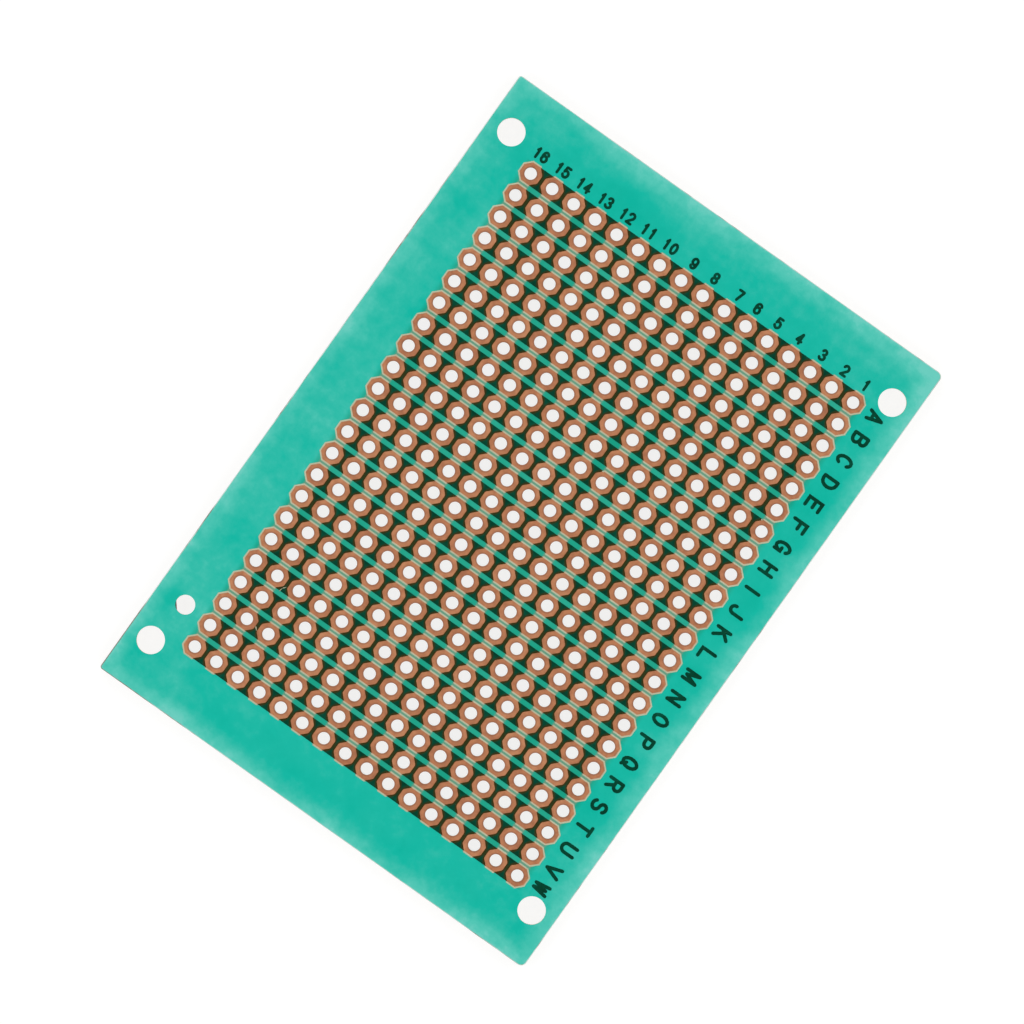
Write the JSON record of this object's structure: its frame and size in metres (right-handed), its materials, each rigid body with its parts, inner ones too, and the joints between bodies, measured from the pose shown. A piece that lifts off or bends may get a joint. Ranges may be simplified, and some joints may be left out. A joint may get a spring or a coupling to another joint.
{
  "type": "prototype board",
  "caption": "Small drilled laminate board for prototypes: parallel copper strips under green solder resist, open round every lead hole, with index marks and corner holes.",
  "frame": {"origin": "middle of the underside, which is the bare laminate side", "axes": "+X along the strips toward column 1 and the row letters, +Y across the strips toward row A and the column numbers, +Z out of the copper side"},
  "size_m": [0.05, 0.07, 0.0017],
  "materials": {
    "laminate": "drilled phenolic or epoxy laminate, cream",
    "copper": "copper foil, slightly dulled",
    "covered_copper": "copper foil under the resist",
    "solder_resist": "printed green resist, semi-gloss; it looks dark green where it covers copper"
  },
  "bodies": {
    "root": {"laminate": "laminate", "strip_a": "copper", "strip_b": "copper", "strip_c": "copper", "strip_d": "copper", "strip_e": "copper", "strip_f": "copper", "strip_g": "copper", "strip_h": "copper", "strip_i": "copper", "strip_j": "copper", "strip_k": "copper", "strip_l": "copper", "strip_m": "copper", "strip_n": "copper", "strip_o": "copper", "strip_p": "copper", "strip_q": "copper", "strip_r": "copper", "strip_s": "copper", "strip_t": "copper", "strip_u": "copper", "strip_v": "copper", "strip_w": "copper", "column_numbers": "covered_copper", "row_letters": "covered_copper", "solder_resist": "solder_resist"}
  },
  "joints": []
}
